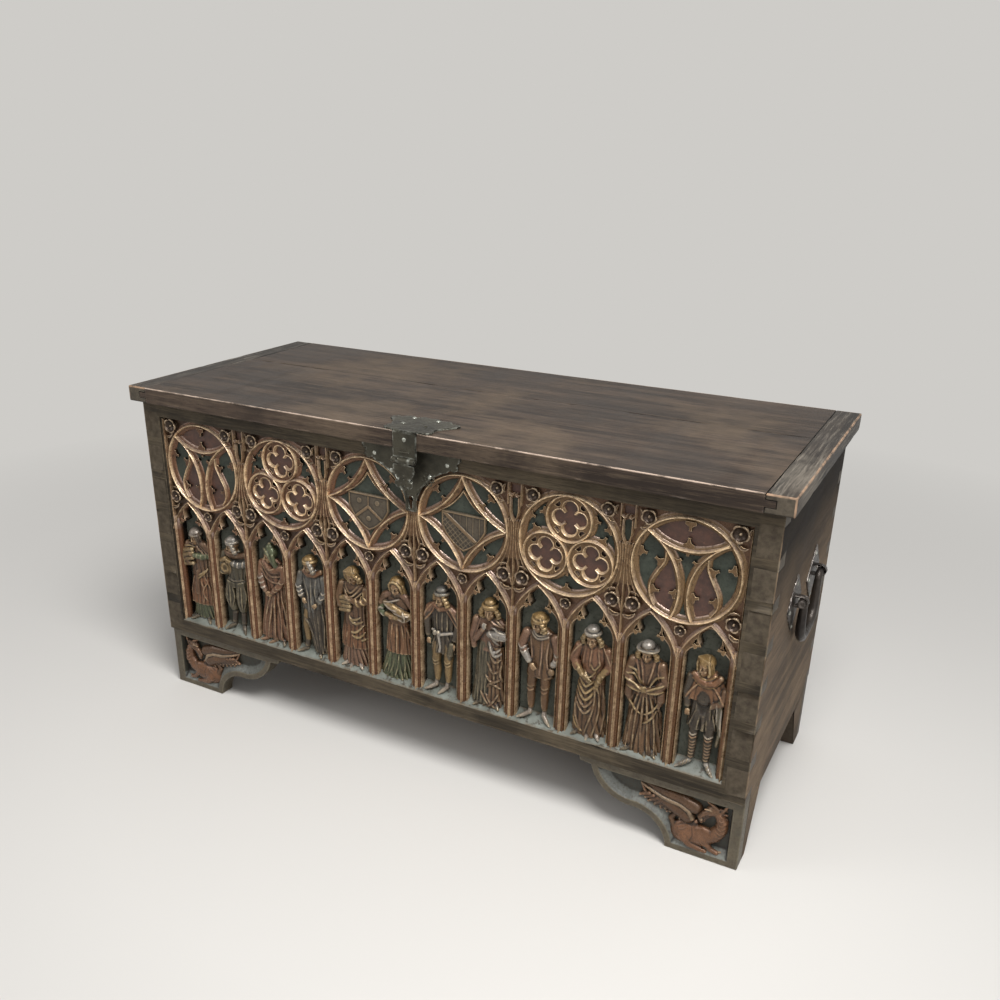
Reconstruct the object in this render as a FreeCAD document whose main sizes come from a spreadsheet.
# Gothic coffer chest: a boarded oak chest on bracket feet, with an arcaded and traceried front,
# twelve niche figures, a breadboard lid on strap hinges, an iron hasp and lock, and bail handles.
# Millimetres, +Z up, the carved front towards -Y, origin on the floor under the middle.
import FreeCAD, Part
import math
import os
import re
import Sketcher
from FreeCAD import Vector

os.makedirs("parts", exist_ok=True)
doc = FreeCAD.newDocument("coffer_chest")

# Driving dimensions
sheet = doc.addObject("Spreadsheet::Sheet", "sizes")
driving = {
    # case: outside width and depth, height to the lid's underside, and the shift along Y that
    # centres the whole object, hasp and lid overhang included, on the origin
    "caseWidth": 1100, "caseDepth": 430, "caseHeight": 561.5, "caseShift": 3.85,
    "frontThick": 34, "backThick": 26, "endThick": 31,
    "railBottom": 118, "bottomThick": 18, "bottomLift": 6, "grooveDeep": 5,
    # dovetails that the end boards send through the front and back boards
    "tailCount": 7, "tailPitch": 61, "tailHeight": 45, "tailFlare": 3, "tailFirst": 153.5,
    # cut-out between the feet of an end board
    "footGapFloor": 165, "footGapTop": 115, "footGapHigh": 98,
    # carved field: half width, top, relief depth, and the sloping sill at its lip and back
    "fieldHalf": 514, "fieldTop": 535.5, "relief": 22, "traceryInset": 1.5,
    "sillFront": 142.5, "sillBack": 158, "sillLip": 0.6,
    # niches and roundels
    "nichePitch": 86, "nicheHalf": 33.5, "springHeight": 326, "nicheApex": 383,
    "roundelHeight": 454, "roundelRadius": 79, "roundelBar": 6.5, "lightBar": 6,
    "trioRadius": 34.5, "trioOffset": 39.5, "lobeRadius": 9.5, "lobeOffset": 14,
    "starWaist": 31, "slitHalf": 5, "slitTop": 514, "slitPoint": 478,
    # shields: half width, and heights from the roundel's centre
    "shieldHalf": 34, "shieldTop": 15, "shieldShoulder": -14, "shieldPoint": -47,
    "shieldThick": 6,
    # rosettes: large ones at the top corners and on the spandrels, small ones under the roundels
    "rosetteRadius": 11.5, "smallRosette": 9, "rosetteThick": 2, "rosetteTop": 521,
    "rosetteSpandrel": 392, "rosetteFoot": 365, "cornerAside": 58, "endCornerAside": 66,
    "spandrelAside": 72.5,
    # foot brackets
    "bracketThick": 28, "bracketInset": 6, "bracketReach": 258, "bracketFloor": 110,
    "backBracketThick": 20, "backBracketInset": 6, "panelDeep": 9,
    # lid
    "lidThick": 26.3, "lidSide": 13.5, "lidFront": 15.6, "lidBack": 16.8, "cleatWide": 39,
    "plankJoint": 45, "tongueThick": 9, "tongueLong": 14,
    # strap hinges
    "hingeAt": 330, "strapWide": 34, "strapThick": 3, "strapLong": 250, "leafLong": 110,
    "barrelRadius": 6, "leafBarrel": 5.6, "barrelBehind": 6, "hingePin": 2.5,
    "centreBarrel": 16, "barrelGap": 0.3, "pinFit": 0.06,
    # hasp: the strap bent over the lid's front edge, and the tongue that hangs from it
    "haspWide": 40, "haspThick": 2.5, "haspBarrel": 4.5, "haspPin": 1.8, "haspDrop": 16.5,
    "haspOut": 20, "tongueDrop": 46, "tongueHalf": 18, "stapleAt": 30, "stapleLong": 15.9,
    "stapleThick": 4, "stapleHigh": 14, "loopHigh": 9, "loopDeep": 8, "loopEnd": 2.2,
    # lock
    "plateThick": 2.5, "slotHalf": 3.6, "slotLow": 508, "slotTop": 536, "lockHalf": 25,
    "lockLow": 506, "lockHigh": 548, "lockDeep": 18, "lockWall": 1.6, "boltThick": 3.2,
    "boltHigh": 4.4, "boltStart": 7, "boltLong": 15, "boltSink": 0.6, "boltCentre": 520,
    "keyholeHalf": 3, "keyholeLow": 464, "keyholeEye": 480, "keyholeRadius": 4.6,
    # nails
    "nailHead": 3.4, "nailRise": 1.8, "nailShank": 1.2, "nailLong": 14,
    # bail handles
    "pintleHeight": 380, "plateHeight": 376, "plateDiagonal": 45, "handlePlate": 2,
    "eyeSpacing": 64.5, "pintleOut": 12.5, "bailRadius": 5.5, "bailDrop": 76,
    "bailArm": 49, "bailElbow": 9, "bailCorner": 34, "pintleEnd": 77,
    "eyeStock": 3, "eyeWide": 9, "eyeFit": 0.5, "eyeLeg": 14,
}
for row, (alias, value) in enumerate(driving.items(), start=1):
    sheet.set(f"A{row}", alias)
    sheet.set(f"B{row}", str(value))
    sheet.setAlias(f"B{row}", alias)
working = doc.addObject("Spreadsheet::Sheet", "working")
doc.recompute()


def bound(text):
    # plain aliases, such as caseWidth/2, as an expression that reads the sheet
    return re.sub(r"[A-Za-z]\w*", lambda word: "sizes." + word.group(), text)


def number(text):
    # the same expression worked out, in the one cell of a working sheet
    working.set("A1", "=" + bound(text))
    working.recompute()
    return float(working.get("A1"))


frontY = "(caseShift - caseDepth/2)"
backY = "(caseShift + caseDepth/2)"
groundY = "(caseShift - caseDepth/2 + relief)"
endX = "(caseWidth/2)"
lidTop = "(caseHeight + lidThick)"
yFront, yBack, yGround = number(frontY), number(backY), number(groundY)
alongX, alongY, alongZ = Vector(1, 0, 0), Vector(0, 1, 0), Vector(0, 0, 1)


# Small helpers
def block(name, x0, x1, y0, y1, z0, z1):
    # a box between two corners, each coordinate an expression of the sheet
    item = doc.addObject("Part::Box", name)
    for prop, low, high in (("Length", x0, x1), ("Width", y0, y1), ("Height", z0, z1)):
        item.setExpression(prop, bound(f"({high}) - ({low})"))
    for axis, low in (("x", x0), ("y", y0), ("z", z0)):
        item.setExpression(f"Placement.Base.{axis}", bound(low))
    return item


def rod(name, radius, length, base, along):
    # a cylinder that starts at base, its sizes expressions of the sheet
    item = doc.addObject("Part::Cylinder", name)
    item.setExpression("Radius", bound(radius))
    item.setExpression("Height", bound(length))
    item.Placement.Rotation = FreeCAD.Rotation(alongZ, along)
    for axis, text in zip("xyz", base):
        item.setExpression(f"Placement.Base.{axis}", bound(text))
    return item


def joined(name, items):
    item = doc.addObject("Part::MultiFuse", name)
    item.Shapes = items
    return item


def grouped(name, items):
    # several separate solids kept as one group
    item = doc.addObject("Part::Compound", name)
    item.Links = items
    return item


def minus(name, base, tools):
    item = doc.addObject("Part::Cut", name)
    item.Base = base
    item.Tool = tools[0] if len(tools) == 1 else grouped(name + "_tools", tools)
    return item


def solid(name, shape):
    item = doc.addObject("Part::Feature", name)
    item.Shape = shape
    return item


nodes = {}


def node(label, item):
    # names a finished sub-part, which is written to its own file
    item.Label = label
    nodes[label] = item
    return item


def padded(name, plane, corners, thickness, slide):
    # a PartDesign body: a sketch held by expressions, padded, and moved along the pad's axis
    body = doc.addObject("PartDesign::Body", name)
    sketch = body.newObject("Sketcher::SketchObject", name + "_sketch")
    origin = [part for part in body.Origin.OriginFeatures if part.Role == plane][0]
    sketch.AttachmentSupport = [(origin, "")]
    sketch.MapMode = "FlatFace"
    doc.recompute()
    spots = [Vector(number(across), number(up), 0) for across, up in corners]
    for index, spot in enumerate(spots):
        sketch.addGeometry(Part.LineSegment(spot, spots[(index + 1) % len(spots)]), False)
    for index in range(len(spots)):
        following = (index + 1) % len(spots)
        sketch.addConstraint(Sketcher.Constraint("Coincident", index, 2, following, 1))
    for index, corner in enumerate(corners):
        for kind, text in zip(("DistanceX", "DistanceY"), corner):
            held = sketch.addConstraint(Sketcher.Constraint(kind, -1, 1, index, 1, number(text)))
            sketch.setExpression(f"Constraints[{held}]", bound(text))
    pad = body.newObject("PartDesign::Pad", name + "_pad")
    pad.Profile = sketch
    pad.setExpression("Length", bound(thickness))
    body.Tip = pad
    axis = {"YZ_Plane": "x", "XZ_Plane": "y", "XY_Plane": "z"}[plane]
    body.setExpression(f"Placement.Base.{axis}", bound(slide))
    return body


def prism(points, depth):
    # a solid from a closed outline in XZ, pushed along Y by depth
    wire = Part.makePolygon(points + [points[0]])
    return Part.Face(wire).extrude(Vector(0, depth, 0))


def outline_prism(edges, depth):
    # the same from an outline with curved edges
    return Part.Face(Part.Wire(Part.__sortEdges__(edges))).extrude(Vector(0, depth, 0))


def capsule(start, end, radius, tip=None):
    # a limb: a round bar with ball ends, tapering when tip is given
    tip = radius if tip is None else tip
    along = end - start
    if abs(radius - tip) < 0.01:
        bar = Part.makeCylinder(radius, along.Length, start, along)
    else:
        bar = Part.makeCone(radius, tip, along.Length, start, along)
    balls = [Part.makeSphere(radius, start), Part.makeSphere(tip, end)]
    return bar.multiFuse(balls)


# Dovetails: each end board's tails pass through the front and back boards
def tails(side, sign):
    made = []
    inner = "(0 - caseWidth/2)" if sign < 0 else "(caseWidth/2 - endThick)"
    for wall, root, face in (("front", f"({frontY} + frontThick)", frontY),
                             ("back", f"({backY} - backThick)", backY)):
        for index in range(int(number("tailCount"))):
            tail = doc.addObject("Part::Wedge", f"{side}_{wall}_tail_{index}")
            middle = f"(tailFirst + {index}*tailPitch)"
            wide, slim = "tailHeight/2", "(tailHeight/2 - tailFlare)"
            near, far = (wide, slim) if wall == "front" else (slim, wide)
            tail.setExpression("Xmin", bound(inner))
            tail.setExpression("Xmax", bound(f"{inner} + endThick"))
            tail.setExpression("X2min", bound(inner))
            tail.setExpression("X2max", bound(f"{inner} + endThick"))
            tail.setExpression("Ymin", bound(face if wall == "front" else root))
            tail.setExpression("Ymax", bound(root if wall == "front" else face))
            tail.setExpression("Zmin", bound(f"{middle} - {near}"))
            tail.setExpression("Zmax", bound(f"{middle} + {near}"))
            tail.setExpression("Z2min", bound(f"{middle} - {far}"))
            tail.setExpression("Z2max", bound(f"{middle} + {far}"))
            made.append(tail)
    return made


leftTails = tails("left", -1)
rightTails = tails("right", 1)
frontNotches = [tail for tail in leftTails + rightTails if "_front_" in tail.Name]
backNotches = [tail for tail in leftTails + rightTails if "_back_" in tail.Name]


# Bottom boards, in grooves of the four walls
bottomLow = "(railBottom + bottomLift)"
bottomHigh = "(railBottom + bottomLift + bottomThick)"
bottomX = "(caseWidth/2 - endThick + grooveDeep)"
bottomFrontY = f"({frontY} + frontThick - grooveDeep)"
bottomBackY = f"({backY} - backThick + grooveDeep)"
bottomFront = node("bottom_board_front", block(
    "bottom_front", f"0 - {bottomX}", bottomX, bottomFrontY, "caseShift", bottomLow, bottomHigh))
bottomBack = node("bottom_board_back", block(
    "bottom_back", f"0 - {bottomX}", bottomX, "caseShift", bottomBackY, bottomLow, bottomHigh))


# End boards: full height, with the feet left by a cut-out
def end_board(side, slide, boardTails):
    low, high = f"{frontY} + frontThick", f"{backY} - backThick"
    corners = [(low, "0"), ("caseShift - footGapFloor", "0"),
               ("caseShift - footGapTop", "footGapHigh"), ("caseShift + footGapTop", "footGapHigh"),
               ("caseShift + footGapFloor", "0"), (high, "0"), (high, "caseHeight"),
               (low, "caseHeight")]
    board = padded(f"{side}_end_blank", "YZ_Plane", corners, "endThick", slide)
    withTails = joined(f"{side}_end_with_tails", [board] + boardTails)
    return node(f"{side}_end_board",
                minus(f"{side}_end", withTails, [bottomFront, bottomBack]))


end_board("left", "0 - caseWidth/2", leftTails)
end_board("right", "caseWidth/2 - endThick", rightTails)


# Front board: recessed field, dovetail notches, lock and key mortises
frontBlank = block("front_blank", f"0 - {endX}", endX, frontY, f"{frontY} + frontThick",
                   "railBottom", "caseHeight")
field = block("field", "0 - fieldHalf", "fieldHalf", frontY, groundY, "sillFront", "fieldTop")
lockMortise = block("lock_mortise", "0 - lockHalf", "lockHalf", frontY, f"{frontY} + lockDeep",
                    "lockLow", "lockHigh")
keyMortise = block("key_mortise", "0 - keyholeHalf*1.5", "keyholeHalf*1.5", frontY, groundY,
                   "keyholeLow - 2", "lockLow")
node("front_board",
     minus("front", frontBlank, [field, lockMortise, bottomFront] + frontNotches))

# Back board: notches for the tails and for the two hinge straps
strapNotches = [
    block(f"{side}_strap_notch", f"{sign}*hingeAt - strapWide/2 - barrelGap",
          f"{sign}*hingeAt + strapWide/2 + barrelGap", f"{backY} - backThick", backY,
          "caseHeight - strapThick - barrelGap", "caseHeight")
    for side, sign in (("left", -1), ("right", 1))]
backBlank = block("back_blank", f"0 - {endX}", endX, f"{backY} - backThick", backY,
                  "railBottom", "caseHeight")
node("back_board", minus("back", backBlank, [bottomBack] + backNotches + strapNotches))

# Sloping sill under the niches, thin at the lip and high at the ground
sillCorners = [(frontY, "sillFront"), (groundY, "sillFront"), (groundY, "sillBack"),
               (frontY, "sillFront + sillLip")]
sill = node("niche_sill", padded("sill", "YZ_Plane", sillCorners, "2*fieldHalf",
                                 "0 - fieldHalf"))
doc.recompute()

# Pierced tracery over the ground
pitch = number("nichePitch")
nicheCentres = [pitch * (index - 5.5) for index in range(12)]
roundelCentres = [2 * pitch * (index - 2.5) for index in range(6)]
traceryY = yFront + number("traceryInset")
traceryDeep = yGround - traceryY
roundelZ, roundelR = number("roundelHeight"), number("roundelRadius")
lightR = roundelR - number("roundelBar")


def at(x, z, y=traceryY):
    return Vector(x, y, z)


def disc(x, z, radius, depth=traceryDeep):
    return Part.makeCylinder(radius, depth, at(x, z), alongY)


def ring(x, z, radius, bar):
    return disc(x, z, radius).cut(disc(x, z, radius - bar))


def niche_opening(x):
    # straight jambs, then a pointed arch struck from beyond the far jamb
    half, spring, apex = number("nicheHalf"), number("springHeight"), number("nicheApex")
    low = number("sillFront")
    rise = apex - spring
    radius = (half ** 2 + rise ** 2) / (2 * half)
    turn = math.atan2(rise, radius - half) / 2
    bulge = at(x + half - radius + radius * math.cos(turn), spring + radius * math.sin(turn))
    mirror = at(2 * x - bulge.x, bulge.z)
    return outline_prism([
        Part.LineSegment(at(x - half, low), at(x + half, low)).toShape(),
        Part.LineSegment(at(x + half, low), at(x + half, spring)).toShape(),
        Part.Arc(at(x + half, spring), bulge, at(x, apex)).toShape(),
        Part.Arc(at(x, apex), mirror, at(x - half, spring)).toShape(),
        Part.LineSegment(at(x - half, spring), at(x - half, low)).toShape()], traceryDeep)


def niche_cusps(x):
    # two spurs that make the arch a trefoil
    half, cuspZ, reach, fall = number("nicheHalf"), number("springHeight") + 17, 14, 9
    return [prism([at(x + sign * half, cuspZ + fall), at(x + sign * (half - reach), cuspZ),
                   at(x + sign * half, cuspZ - fall)], traceryDeep) for sign in (-1, 1)]


def bent_bar(x, start, middle, end, bar):
    # a bar that follows an arc through three points about a roundel's centre, kept inside it
    circle = Part.Circle(*[at(x + dx, roundelZ + dz) for dx, dz in (start, middle, end)])
    centre = circle.Center
    hoop = ring(centre.x, centre.z, circle.Radius + bar / 2, bar)
    return hoop.common(disc(x, roundelZ, lightR + 1))


def vesica_bars(x):
    # one almond across the top and two that cross down to the foot
    return [bent_bar(x, (-55, 49), (0, 29), (55, 49), number("lightBar")),
            bent_bar(x, (-55, 49), (-9, -15), (-17, -73), number("lightBar")),
            bent_bar(x, (55, 49), (9, -15), (17, -73), number("lightBar"))]


def trio_bars(x):
    # three small circles, one above two, each a quatrefoil
    offset, radius = number("trioOffset"), number("trioRadius")
    lobeR, lobeOut = number("lobeRadius"), number("lobeOffset")
    bars = []
    for turn in (90, 210, 330):
        cx = x + offset * math.cos(math.radians(turn))
        cz = roundelZ + offset * math.sin(math.radians(turn))
        lobes = disc(cx, cz, radius * 0.3)
        for step in range(4):
            angle = math.radians(90 * step)
            lobes = lobes.fuse(disc(cx + lobeOut * math.cos(angle),
                                    cz + lobeOut * math.sin(angle), lobeR))
        bars.append(disc(cx, cz, radius).cut(lobes))
    return bars


def star_bars(x):
    # four arcs that leave a star with hollow sides around the shield
    reach, waist, bar = lightR + 2, number("starWaist"), number("lightBar")
    bars = []
    for sx, sz in ((1, 1), (1, -1), (-1, -1), (-1, 1)):
        bars.append(bent_bar(x, (sx * reach, 0), (sx * waist, sz * waist), (0, sz * reach), bar))
    return bars


def tracery():
    half, top, low = number("fieldHalf"), number("fieldTop"), number("sillFront")
    panel = prism([at(-half, low), at(half, low), at(half, top), at(-half, top)], traceryDeep)
    holes = [niche_opening(x) for x in nicheCentres]
    holes += [disc(x, roundelZ, lightR) for x in roundelCentres]
    # narrow lights between the roundels, beside the pair mullions
    slit, slitTop, point = number("slitHalf"), number("slitTop"), number("slitPoint")
    for lightX in [x + pitch for x in roundelCentres[:-1]]:
        if abs(lightX) > slit:
            shoulder = point + 2 * slit
            holes.append(prism([at(lightX - slit, slitTop), at(lightX - slit, shoulder),
                                at(lightX, point), at(lightX + slit, shoulder),
                                at(lightX + slit, slitTop)], traceryDeep))
    panel = panel.cut(Part.Compound(holes))
    makers = (vesica_bars, trio_bars, star_bars, star_bars, trio_bars, vesica_bars)
    bars = [bar for maker, x in zip(makers, roundelCentres) for bar in maker(x)]
    bars += [spur for x in nicheCentres for spur in niche_cusps(x)]
    panel = panel.multiFuse(bars)
    return panel.cut(Part.Compound([sill.Shape, lockMortise.Shape, keyMortise.Shape]))


node("tracery_panel", solid("tracery", tracery()))


# Blank shields, each in the middle of a star roundel, standing on the ground
def shield(x):
    # flat top, upright sides, then two curves that meet in the point
    half, thick = number("shieldHalf"), number("shieldThick")
    top, shoulder, point = [roundelZ + number(cell)
                            for cell in ("shieldTop", "shieldShoulder", "shieldPoint")]
    y = yGround - thick
    edges = [Part.LineSegment(at(x - half, top, y), at(x + half, top, y)).toShape()]
    for sign in (-1, 1):
        corner, side = at(x + sign * half, top, y), at(x + sign * half, shoulder, y)
        bulge = at(x + sign * half * 0.62, (shoulder + 1.4 * point) / 2.4, y)
        edges.append(Part.LineSegment(corner, side).toShape())
        edges.append(Part.Arc(side, bulge, at(x, point, y)).toShape())
    return outline_prism(edges, thick)


node("shield_left", solid("left_shield", shield(roundelCentres[2])))
node("shield_right", solid("right_shield", shield(roundelCentres[3])))


# Rosettes: where each stands, and the cell that holds its radius
def rosette_places():
    places = []
    for x in roundelCentres:
        places.append((x, "rosetteFoot", "smallRosette"))
        for sign in (-1, 1):
            places.append((x + sign * number("spandrelAside"), "rosetteSpandrel",
                           "rosetteRadius"))
            atEnd = abs(x + sign * pitch) > 5 * pitch
            aside = number("endCornerAside" if atEnd else "cornerAside")
            if abs(x + sign * pitch) > 1:
                places.append((x + sign * aside, "rosetteTop", "rosetteRadius"))
    return places


rosettes = [rod(f"rosette_{index}", radius, "rosetteThick",
                (str(x), f"{frontY} + traceryInset - rosetteThick", z), alongY)
            for index, (x, z, radius) in enumerate(rosette_places())]
node("rosettes", grouped("rosette_group", rosettes))


# Niche figures, in half relief against the ground. Each stands on the sill.
# dress is the hem's height above the feet; a figure with a low hem is gowned.
figures = [
    {"hem": 28, "skirt": 21, "hat": "veil", "hands": (2, 116), "turn": 0},
    {"hem": 42, "skirt": 19, "hat": "turban", "hands": (-6, 108), "turn": -5},
    {"hem": 8, "skirt": 24, "hat": "hood", "hands": (0, 96), "turn": -6},
    {"hem": 66, "skirt": 17, "hat": "turban", "hands": (-4, 94), "turn": -5},
    {"hem": 16, "skirt": 21, "hat": "curls", "hands": (-2, 112), "turn": 0},
    {"hem": 10, "skirt": 22, "hat": "veil", "hands": (0, 118), "turn": 0},
    {"hem": 74, "skirt": 17, "hat": "cap", "hands": None, "turn": -2},
    {"hem": 12, "skirt": 23, "hat": "cap", "hands": (-2, 120), "turn": 0},
    {"hem": 76, "skirt": 18, "hat": "turban", "hands": (-8, 96), "turn": -6},
    {"hem": 10, "skirt": 22, "hat": "cap", "hands": (2, 92), "turn": 0},
    {"hem": 8, "skirt": 24, "hat": "brim", "hands": (0, 104), "turn": 0},
    {"hem": 70, "skirt": 18, "hat": "cap", "hands": (2, 98), "turn": -6},
]
figureFeet = 149
figureParts = {
    # heights above the feet, half widths, and limb radii of a standing figure
    "waist": 100, "waistWide": 14, "shoulder": 146, "shoulderWide": 18, "neck": 156,
    "neckWide": 7, "head": 172, "headWide": 11, "elbow": 108, "elbowOut": 25,
    "armWide": 5, "legOut": 9, "legWide": 6.5, "footWide": 5,
}


def hat_shapes(kind, centre):
    up = alongZ
    if kind == "hood":
        return [Part.makeCone(13, 2, 24, centre + Vector(0, 0, 3), up)]
    if kind == "brim":
        return [Part.makeCone(15, 9, 7, centre + Vector(0, 0, 6), up),
                Part.makeSphere(9, centre + Vector(0, 0, 13))]
    if kind == "cap":
        return [Part.makeCylinder(13.5, 4, centre + Vector(0, 0, 5), up),
                Part.makeSphere(11, centre + Vector(0, 0, 9))]
    if kind == "turban":
        return [Part.makeTorus(9.5, 4.5, centre + Vector(0, 0, 8), up),
                Part.makeSphere(9, centre + Vector(0, 0, 11))]
    return [Part.makeSphere(13, centre + Vector(0, 3, 3))]


def figure_shape(x, look):
    size, up = figureParts, alongZ
    spine = Vector(x, yGround, figureFeet)
    waist, shoulder = Vector(0, 0, size["waist"]), Vector(0, 0, size["shoulder"])
    head = spine + Vector(look["turn"] * 0.4, -8, size["head"])
    pieces = [
        Part.makeCone(look["skirt"], size["waistWide"], size["waist"] - look["hem"],
                      spine + Vector(0, 0, look["hem"]), up),
        Part.makeCone(size["waistWide"], size["shoulderWide"], size["shoulder"] - size["waist"],
                      spine + waist, up),
        Part.makeCone(size["shoulderWide"], size["neckWide"], size["neck"] - size["shoulder"],
                      spine + shoulder, up),
        Part.makeCylinder(size["neckWide"], size["head"] - size["neck"],
                          spine + Vector(0, -4, size["neck"]), up),
        Part.makeSphere(size["headWide"], head)]
    pieces += hat_shapes(look["hat"], head)
    for sign in (-1, 1):
        joint = spine + shoulder + Vector(sign * (size["shoulderWide"] - 1), -5, -3)
        elbow = spine + Vector(sign * size["elbowOut"], -8, size["elbow"])
        pieces.append(capsule(joint, elbow, size["armWide"] + 0.6, size["armWide"]))
        handX, handZ = look["hands"] or (sign * 20, 84)
        reach = -8 if look["hands"] is None else -14
        wrist = spine + Vector(handX + sign * 4, reach, handZ)
        pieces.append(capsule(elbow, wrist, size["armWide"], size["armWide"] - 1))
        ankle = spine + Vector(sign * size["legOut"], -7, 4)
        knee = spine + Vector(sign * size["legOut"] * 0.8, -5, look["hem"] + 12)
        pieces.append(capsule(knee, ankle, size["legWide"], size["legWide"] - 1))
        toe = ankle + Vector(sign * 5, -6, -4)
        pieces.append(capsule(ankle, toe, size["footWide"], size["footWide"] - 1.5))
    body = pieces[0].multiFuse(pieces[1:])
    behind = Part.makeBox(200, 100, 400, Vector(x - 100, yGround, 0))
    return body.cut(behind).cut(sill.Shape)


for index, (x, look) in enumerate(zip(nicheCentres, figures), start=1):
    statue = figure_shape(x, look)
    node(f"niche_figure_{index:02d}", solid(f"figure_{index}", statue))


# Foot brackets. The outline runs from the post along the floor, up the cyma and back on top.
def bracket_outline(sign, y, grow=0.0):
    # grow moves the outline inwards, for the carved panel's border
    outer = number("caseWidth") / 2 - grow
    floor, top = grow, number("railBottom") - grow
    foot = number("caseWidth") / 2 - number("bracketFloor") + grow
    tip = number("caseWidth") / 2 - number("bracketReach") + 2.2 * grow
    half = number("caseWidth") / 2

    def spot(x, z):
        return Vector(sign * x, y, z)

    step = spot(tip + 22, top - 14)
    hollow = [spot(tip + 50, 64 + grow * 0.4), spot(half - 172 + grow, 52 + grow * 0.8)]
    heel = [spot(half - 128 + grow, 38 + grow * 0.6), spot(foot, floor)]
    return [Part.LineSegment(spot(outer, floor), spot(outer, top)).toShape(),
            Part.LineSegment(spot(outer, top), spot(tip, top)).toShape(),
            Part.LineSegment(spot(tip, top), spot(tip + 4, top - 12)).toShape(),
            Part.LineSegment(spot(tip + 4, top - 12), step).toShape(),
            Part.Arc(step, hollow[0], hollow[1]).toShape(),
            Part.Arc(hollow[1], heel[0], heel[1]).toShape(),
            Part.LineSegment(spot(foot, floor), spot(outer, floor)).toShape()]


def beast(sign, y):
    # a curled winged beast in low relief: neck and head by the post, tail and wing inwards
    def spot(fromPost, z, lift=0.0):
        return Vector(sign * (number("caseWidth") / 2 - fromPost), y - lift, z)

    body = capsule(spot(62, 34), spot(42, 32), 15, 14)
    neck = capsule(spot(38, 40), spot(30, 62), 12, 9)
    crest = capsule(spot(30, 62), spot(38, 84), 9, 8)
    head = capsule(spot(38, 84), spot(54, 74), 9, 5)
    wing = prism([spot(38, 92, 5), spot(140, 98, 5), spot(128, 76, 5), spot(70, 52, 5),
                  spot(52, 60, 5)], 5)
    shape = body.multiFuse([neck, crest, head, wing])
    behind = Part.makeBox(400, 60, 200, Vector(sign * 450 - 200, y, 0))
    before = Part.makeBox(400, 60, 200, Vector(sign * 450 - 200, y - number("panelDeep") - 61, 0))
    return shape.cut(behind).cut(before)


bracketY = yFront + number("bracketInset")
for side, sign in (("left", -1), ("right", 1)):
    board = outline_prism(bracket_outline(sign, bracketY), number("bracketThick"))
    sunk = outline_prism(bracket_outline(sign, bracketY, 14), number("panelDeep"))
    carved = board.cut(sunk).fuse(beast(sign, bracketY + number("panelDeep")))
    node(f"front_bracket_{side}", solid(f"front_bracket_{side}_wood", carved.removeSplitter()))
    backBracketY = yBack - number("backBracketInset") - number("backBracketThick")
    plain = outline_prism(bracket_outline(sign, backBracketY), number("backBracketThick"))
    node(f"back_bracket_{side}", solid(f"back_bracket_{side}_wood", plain))

# Lid: two planks tongued into a cleat at each end
lidX = "(caseWidth/2 + lidSide)"
plankX = f"({lidX} - cleatWide)"
lidFrontY, lidBackY = f"({frontY} - lidFront)", f"({backY} + lidBack)"
jointY = "(caseShift + plankJoint)"
tongueLow = "(caseHeight + lidThick/2 - tongueThick/2)"
tongueHigh = "(caseHeight + lidThick/2 + tongueThick/2)"
tongueX = f"({plankX} + tongueLong)"


def plank(name, low, high):
    board = block(f"{name}_board", f"0 - {plankX}", plankX, low, high, "caseHeight", lidTop)
    tongue = block(f"{name}_tongue", f"0 - {tongueX}", tongueX, low, high, tongueLow, tongueHigh)
    return joined(name, [board, tongue])


node("lid_front_plank", plank("front_plank", lidFrontY, jointY))
node("lid_back_plank", plank("back_plank", jointY, lidBackY))
for side, low, high in (("left", f"0 - {lidX}", f"0 - {plankX}"), ("right", plankX, lidX)):
    blank = block(f"{side}_cleat_blank", low, high, lidFrontY, lidBackY, "caseHeight", lidTop)
    groove = block(f"{side}_cleat_groove", f"0 - {tongueX}", tongueX, lidFrontY, lidBackY,
                   tongueLow, tongueHigh)
    node(f"lid_{side}_cleat", minus(f"{side}_cleat", blank, [groove]))

# Strap hinges: the strap under the lid, the leaf on the back board, the pin behind both
pinY = f"({backY} + barrelBehind)"
pinZ = "(caseHeight - barrelRadius)"
nailHead, nailRise = number("nailHead"), number("nailRise")
nailShank, nailLong = number("nailShank"), number("nailLong")


def nail(place, drive):
    # a round-headed nail turned about its driving direction, its shank sunk in the wood
    side = drive.cross(alongZ if abs(drive.z) < 0.5 else alongX)

    def spot(out, deep):
        return place + side * out + drive * deep

    dome = Part.Arc(spot(0, -nailRise), spot(nailHead * 0.7, -nailRise * 0.5),
                    spot(nailHead, 0)).toShape()
    rest = [spot(nailHead, 0), spot(nailShank, 0), spot(nailShank, nailLong), spot(0, nailLong),
            spot(0, -nailRise)]
    sides = [Part.LineSegment(start, end).toShape() for start, end in zip(rest, rest[1:])]
    return Part.Face(Part.Wire([dome] + sides)).revolve(place, drive, 360)


def barrels(name, radius, spans, middle):
    # barrel lengths along X between spans measured from the hinge's middle
    return [rod(f"{name}_{index}", radius, f"({high}) - ({low})",
                (f"{middle} + ({low})", pinY, pinZ), alongX)
            for index, (low, high) in enumerate(spans)]


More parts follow.
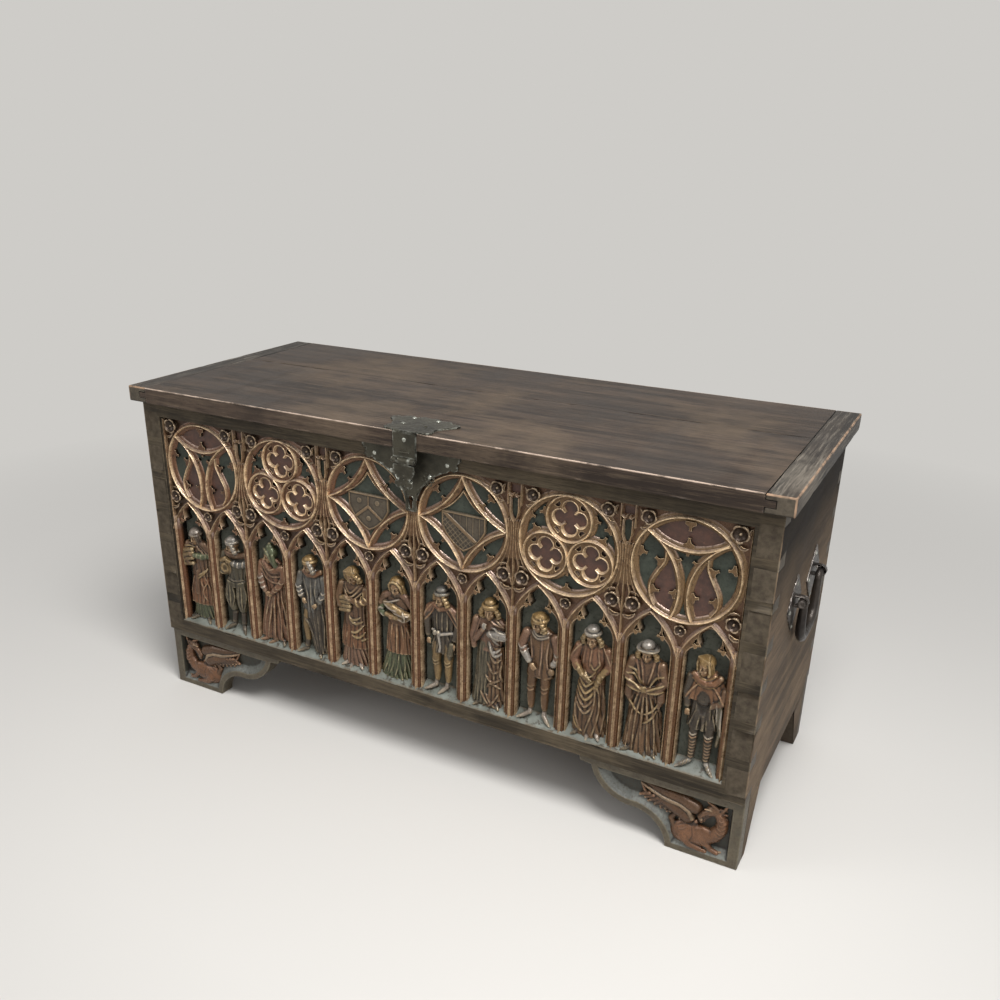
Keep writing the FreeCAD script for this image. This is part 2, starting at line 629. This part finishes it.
hingeNailsLid, hingeNailsBack = [], []
for side, sign in (("left", -1), ("right", 1)):
    middle = f"{sign}*hingeAt"
    half, slim = "strapWide/2", "centreBarrel/2"
    bore = rod(f"{side}_strap_bore", "hingePin + pinFit", "strapWide",
               (f"{middle} - {half}", pinY, pinZ), alongX)
    strap = block(f"{side}_strap_bar", f"{middle} - {half}", f"{middle} + {half}",
                  f"{backY} - strapLong", f"{backY} - barrelGap", "caseHeight - strapThick",
                  "caseHeight")
    neck = block(f"{side}_strap_neck", f"{middle} - {slim}", f"{middle} + {slim}",
                 f"{backY} - 2", pinY, "caseHeight - strapThick", "caseHeight")
    eye = barrels(f"{side}_strap_eye", "barrelRadius", [(f"0 - {slim}", slim)], middle)
    strapSolid = minus(f"{side}_strap", joined(f"{side}_strap_parts", [strap, neck] + eye),
                       [bore])
    pinHole = rod(f"{side}_leaf_bore", "hingePin", "strapWide",
                  (f"{middle} - {half}", pinY, pinZ), alongX)
    leaf = block(f"{side}_leaf_plate", f"{middle} - {half}", f"{middle} + {half}", backY,
                 f"{backY} + strapThick", "caseHeight - leafLong", pinZ)
    relief = rod(f"{side}_leaf_relief", "barrelRadius + 2*barrelGap",
                 "centreBarrel + 2*barrelGap", (f"{middle} - {slim} - barrelGap", pinY, pinZ),
                 alongX)
    ears = barrels(f"{side}_leaf_ear", "leafBarrel", [
        (f"0 - {half}", f"0 - {slim} - barrelGap"), (f"{slim} + barrelGap", half)], middle)
    leafSolid = minus(f"{side}_leaf", joined(f"{side}_leaf_parts", [leaf] + ears),
                      [pinHole, relief])
    node(f"hinge_pin_{side}", rod(f"{side}_hinge_pin", "hingePin", "strapWide",
                                  (f"{middle} - {half}", pinY, pinZ), alongX))
    doc.recompute()
    x = number(middle)
    under = number("caseHeight") - number("strapThick")
    for back in (50, 130, 230):
        hingeNailsLid.append(nail(Vector(x, yBack - back, under), alongZ))
    for drop in (35, 65, 95):
        spot = Vector(x, yBack + number("strapThick"), number("caseHeight") - drop)
        hingeNailsBack.append(nail(spot, -alongY))
    lidHoles = solid(f"{side}_strap_holes", Part.Compound(hingeNailsLid[-3:]))
    leafHoles = solid(f"{side}_leaf_holes", Part.Compound(hingeNailsBack[-3:]))
    node(f"hinge_strap_{side}", minus(f"{side}_strap_drilled", strapSolid, [lidHoles]))
    node(f"hinge_leaf_{side}", minus(f"{side}_leaf_drilled", leafSolid, [leafHoles]))
node("hinge_strap_nails", solid("strap_nail_group", Part.Compound(hingeNailsLid)))
node("hinge_leaf_nails", solid("leaf_nail_group", Part.Compound(hingeNailsBack)))

# Lock plate: fills the spandrel between the two middle roundels, nailed to the front
plateFace = yFront - number("plateThick")


def lock_plate_outline():
    top, rim, centreX = number("caseHeight") - 0.5, roundelR + 1.5, pitch
    right = [(86, top), (87, 552), (80, 546), (83, 538), (75, 534), (69, 536), (62, 531)]
    edges = []
    low = number("keyholeLow") - 4
    side = 9.0
    rimHigh = Vector(62, plateFace, roundelZ + math.sqrt(rim ** 2 - (62 - centreX) ** 2))
    rimLow = Vector(side, plateFace, roundelZ + math.sqrt(rim ** 2 - (side - centreX) ** 2))
    turn = math.radians(135)
    rimMiddle = Vector(centreX + rim * math.cos(turn), plateFace,
                       roundelZ + rim * math.sin(turn))
    for sign in (-1, 1):
        def flip(point):
            return Vector(sign * point.x, point.y, point.z)
        chain = [Vector(x, plateFace, z) for x, z in right[:-1]] + [rimHigh]
        edges.append(Part.LineSegment(Vector(0, plateFace, top), flip(chain[0])).toShape())
        for start, end in zip(chain, chain[1:]):
            edges.append(Part.LineSegment(flip(start), flip(end)).toShape())
        edges.append(Part.Arc(flip(rimHigh), flip(rimMiddle), flip(rimLow)).toShape())
        foot = Vector(side, plateFace, low)
        edges.append(Part.LineSegment(flip(rimLow), flip(foot)).toShape())
        edges.append(Part.LineSegment(flip(foot), Vector(0, plateFace, low)).toShape())
    return edges


def plate_hole(x0, x1, z0, z1):
    return Part.makeBox(x1 - x0, 40, z1 - z0, Vector(x0, plateFace - 10, z0))


keyHalf, keyEye = number("keyholeHalf"), number("keyholeEye")
slotHalf = number("slotHalf")
lockNails = [nail(Vector(x, plateFace, z), alongY)
             for x, z in ((-64, 543), (64, 543), (-34, 520), (34, 520))]
plate = outline_prism(lock_plate_outline(), number("plateThick"))
plate = plate.cut(Part.Compound([
    plate_hole(-slotHalf, slotHalf, number("slotLow"), number("slotTop")),
    plate_hole(-keyHalf, keyHalf, number("keyholeLow"), keyEye),
    Part.makeCylinder(number("keyholeRadius"), 40, Vector(0, plateFace - 10, keyEye),
                      alongY)] + lockNails))
node("lock_plate", solid("plate", plate))
node("lock_plate_nails", solid("plate_nails", Part.Compound(lockNails)))

# Lock case let into the front behind the plate, with a guide for the sliding bolt
caseShell = block("lock_shell", "0 - lockHalf", "lockHalf", frontY, f"{frontY} + lockDeep",
                  "lockLow", "lockHigh")
caseRoom = block("lock_room", "lockWall - lockHalf", "lockHalf - lockWall", frontY,
                 f"{frontY} + lockDeep - lockWall", "lockLow + lockWall", "lockHigh - lockWall")
guideBlock = block("lock_guide", "boltStart + 2", "boltStart + 8", frontY,
                   f"{frontY} + lockDeep - lockWall", "boltCentre - boltHigh",
                   "boltCentre + boltHigh")
boltFit = "0.15"
boltRun = block("bolt_run", "boltStart - 4", "boltStart + boltLong",
                f"{frontY} + boltSink - {boltFit}", f"{frontY} + boltSink + boltThick + {boltFit}",
                f"boltCentre - boltHigh/2 - {boltFit}", f"boltCentre + boltHigh/2 + {boltFit}")
hollowCase = minus("lock_hollow", caseShell, [caseRoom])
node("lock_case", minus("lock_body", joined("lock_walls", [hollowCase, guideBlock]), [boltRun]))
node("lock_bolt", block("bolt", "boltStart", "boltStart + boltLong", f"{frontY} + boltSink",
                        f"{frontY} + boltSink + boltThick", "boltCentre - boltHigh/2",
                        "boltCentre + boltHigh/2"))

# Hasp: a shaped plate on the lid bent down over its front edge to two barrels
haspFace = number(lidFrontY) - number("haspThick")
haspTop = number(lidTop)
haspPinY = yFront - number("haspOut")
haspPinZ = number("caseHeight") - number("haspDrop")


def hasp_leaf():
    # right half of the outline on the lid, as distance from the middle and from the lid's edge
    right = [(20, 0), (36, 1), (42, 8), (38, 22), (44, 36), (52, 46), (59, 52), (60, 60),
             (52, 66), (44, 64), (36, 74), (22, 70), (12, 78), (0, 74)]
    left = [(-x, back) for x, back in reversed(right[:-1])]
    z = haspTop
    points = [Vector(x, haspFace + number("haspThick") + back, z) for x, back in right + left]
    face = Part.Face(Part.makePolygon(points + [points[0]]))
    return face.extrude(Vector(0, 0, number("haspThick")))


def bar_x(half, y, z, radius, start=None):
    start = -half if start is None else start
    return Part.makeCylinder(radius, 2 * half, Vector(start, y, z), alongX)


def hasp_strap():
    half, thick = number("haspWide") / 2, number("haspThick")
    over = Part.makeBox(2 * half, thick + 1, thick, Vector(-half, haspFace, haspTop))
    drop = Part.makeBox(2 * half, thick, haspTop + thick - haspPinZ,
                        Vector(-half, haspFace, haspPinZ))
    eyes = [Part.makeCylinder(number("haspBarrel"), half / 2 - 0.3,
                              Vector(start, haspPinY, haspPinZ), alongX)
            for start in (-half, half / 2 + 0.3)]
    strap = hasp_leaf().multiFuse([over, drop] + eyes)
    room = bar_x(half / 2, haspPinY, haspPinZ, number("haspBarrel") + 0.4)
    room = room.fuse(Part.makeBox(half, 8, 6, Vector(-half / 2, haspPinY, haspPinZ - 4)))
    hole = bar_x(half, haspPinY, haspPinZ, number("haspPin"))
    return strap.cut(Part.Compound([room, hole]))


def tongue_shape():
    # a plate that narrows to a trefoil, its staple at the back for the lock's bolt
    half, thick = number("haspWide") / 2, number("haspThick")
    y, drop, wide = haspPinY - thick / 2, number("tongueDrop"), number("tongueHalf")
    z = haspPinZ
    outline = [(wide / 2, 0), (wide / 2, -6), (wide, -6), (wide + 1, -18), (12, -29), (6, -31),
               (5, -34)]
    points = [Vector(x, y, z + dz) for x, dz in outline]
    points += [Vector(-x, y, z + dz) for x, dz in reversed(outline)]
    leaf = Part.Face(Part.makePolygon(points + [points[0]])).extrude(Vector(0, thick, 0))
    eye = bar_x(half / 2 - 0.3, haspPinY, z, number("haspBarrel"))
    lobes = [Part.makeCylinder(6.5, thick, Vector(x, y, z - drop + dz), alongY)
             for x, dz in ((0, 6), (-9, 10), (9, 10))]
    stapleHalf = number("stapleThick") / 2
    back = haspPinY + thick / 2
    staple = Part.makeBox(2 * stapleHalf, number("stapleLong") + 1, number("stapleHigh"),
                          Vector(-stapleHalf, back - 1,
                                 z - number("stapleAt") - number("stapleHigh") / 2))
    loopY = back + number("stapleLong") - number("loopEnd") - number("loopDeep")
    loop = Part.makeBox(20, number("loopDeep"), number("loopHigh"),
                        Vector(-10, loopY, z - number("stapleAt") - number("loopHigh") / 2))
    shape = leaf.multiFuse([eye] + lobes + [staple.cut(loop)])
    pinHole = bar_x(half, haspPinY, z, number("haspPin") + number("pinFit"))
    eyelet = Part.makeCylinder(2, 20, Vector(0, y - 5, z - drop + 6), alongY)
    return shape.cut(Part.Compound([pinHole, eyelet]))


haspNails = [nail(Vector(x, number(lidFrontY) + back, haspTop + number("haspThick")),
                  Vector(0, 0, -1))
             for x, back in ((-24, 66), (18, 66), (-24, 33), (16, 33))]
haspNails.append(nail(Vector(0, haspFace, number("caseHeight") + 15), alongY))
node("hasp_strap", solid("strap_leaf", hasp_strap().cut(Part.Compound(haspNails))))
node("hasp_nails", solid("hasp_nail_group", Part.Compound(haspNails)))
node("hasp_tongue", solid("tongue", tongue_shape()))
node("hasp_pin", rod("hasp_pin_rod", "haspPin", "haspWide",
                     ("0 - haspWide/2", f"{frontY} - haspOut", "caseHeight - haspDrop"), alongX))

# Bail handles: two cornerwise plates at each end, an eye staple through each, and the bail
handleNails = []


def handle_plate(sign, y, staple, nailSet):
    reach, thick, z = number("plateDiagonal"), number("handlePlate"), number("plateHeight")
    x = sign * number(endX)
    corners = [Vector(x, y, z + reach), Vector(x, y + reach, z), Vector(x, y, z - reach),
               Vector(x, y - reach, z)]
    face = Part.Face(Part.makePolygon(corners + [corners[0]]))
    blank = face.extrude(Vector(sign * thick, 0, 0))
    return blank.cut(Part.Compound([staple] + nailSet))


def eye_staple(sign, y):
    # a strap bent round the pintle, both legs driven through the plate into the board
    inner = number("bailRadius") + number("eyeFit")
    outer, wide = inner + number("eyeStock"), number("eyeWide")
    x, z = sign * (number(endX) + number("pintleOut")), number("pintleHeight")
    start = Vector(x, y - wide / 2, z)
    along = alongY
    legLong = number("pintleOut") + number("eyeLeg")
    low = min(x, x - sign * legLong)
    legs = Part.makeBox(legLong, wide, 2 * outer, Vector(low, y - wide / 2, z - outer))
    slot = Part.makeBox(legLong, wide, 2 * inner, Vector(low, y - wide / 2, z - inner))
    hoop = Part.makeCylinder(outer, wide, start, along).fuse(legs)
    return hoop.cut(Part.makeCylinder(inner, wide, start, along)).cut(slot)


def bail(sign):
    # one bent bar: pintle, elbow, arm, rounded corner and the grip, mirrored about the middle
    x, z, y = sign * (number(endX) + number("pintleOut")), number("pintleHeight"), number(
        "caseShift")
    end, arm, drop = number("pintleEnd"), number("bailArm"), number("bailDrop")
    elbow, corner, radius = number("bailElbow"), number("bailCorner"), number("bailRadius")

    def bend(side, centreY, centreZ, bendRadius, middle):
        centre = Vector(x, y + side * centreY, z + centreZ)
        turn = [Vector(0, side * math.cos(angle), math.sin(angle)) * bendRadius
                for angle in middle]
        return Part.Arc(*[centre + step for step in turn]).toShape()

    quarter = math.pi / 2
    edges = []
    for side in (-1, 1):
        edges.append(Part.LineSegment(Vector(x, y + side * end, z),
                                      Vector(x, y + side * (arm + elbow), z)).toShape())
        edges.append(bend(side, arm + elbow, -elbow, elbow,
                          (quarter, 1.5 * quarter, 2 * quarter)))
        edges.append(Part.LineSegment(Vector(x, y + side * arm, z - elbow),
                                      Vector(x, y + side * arm, z - drop + corner)).toShape())
        edges.append(bend(side, arm - corner, corner - drop, corner,
                          (0, -0.5 * quarter, -quarter)))
    edges.append(Part.LineSegment(Vector(x, y - arm + corner, z - drop),
                                  Vector(x, y + arm - corner, z - drop)).toShape())
    path = Part.Wire(Part.__sortEdges__(edges))
    ends = Vector(x, y - end, z)
    section = Part.Wire(Part.makeCircle(radius, ends, alongY))
    return path.makePipeShell([section], True, True)


for side, sign in (("left", -1), ("right", 1)):
    for place, offset in (("front", -1), ("back", 1)):
        y = number("caseShift") + offset * number("eyeSpacing")
        staple = eye_staple(sign, y)
        spots = [(0, 30), (30, -4), (0, -38), (-30, -4)]
        nailSet = [nail(Vector(sign * (number(endX) + number("handlePlate")), y + dy,
                                   number("plateHeight") + dz), Vector(-sign, 0, 0))
                   for dy, dz in spots]
        handleNails += nailSet
        node(f"handle_plate_{side}_{place}",
             solid(f"plate_{side}_{place}", handle_plate(sign, y, staple, nailSet)))
        node(f"handle_staple_{side}_{place}", solid(f"staple_{side}_{place}", staple))
    node(f"bail_{side}", solid(f"bail_bar_{side}", bail(sign)))
node("handle_nails", solid("handle_nail_group", Part.Compound(handleNails)))

# Checks, then one file for each sub-part
doc.recompute()
for item in doc.Objects:
    if "Invalid" in item.State or "Error" in item.State:
        raise RuntimeError(f"{item.Name} failed: {item.State}")
for label, item in nodes.items():
    shape = item.Shape
    if shape.isNull() or not shape.isValid() or not shape.Solids:
        raise RuntimeError(f"{label} has no valid solid")
for label, item in nodes.items():
    item.Shape.exportStep(f"parts/{label}.step")
whole = Part.Compound([item.Shape for item in nodes.values()]).BoundBox
print(len(nodes), "sub-parts,", round(whole.XMin, 2), round(whole.XMax, 2), round(whole.YMin, 2),
      round(whole.YMax, 2), round(whole.ZMin, 2), round(whole.ZMax, 2))
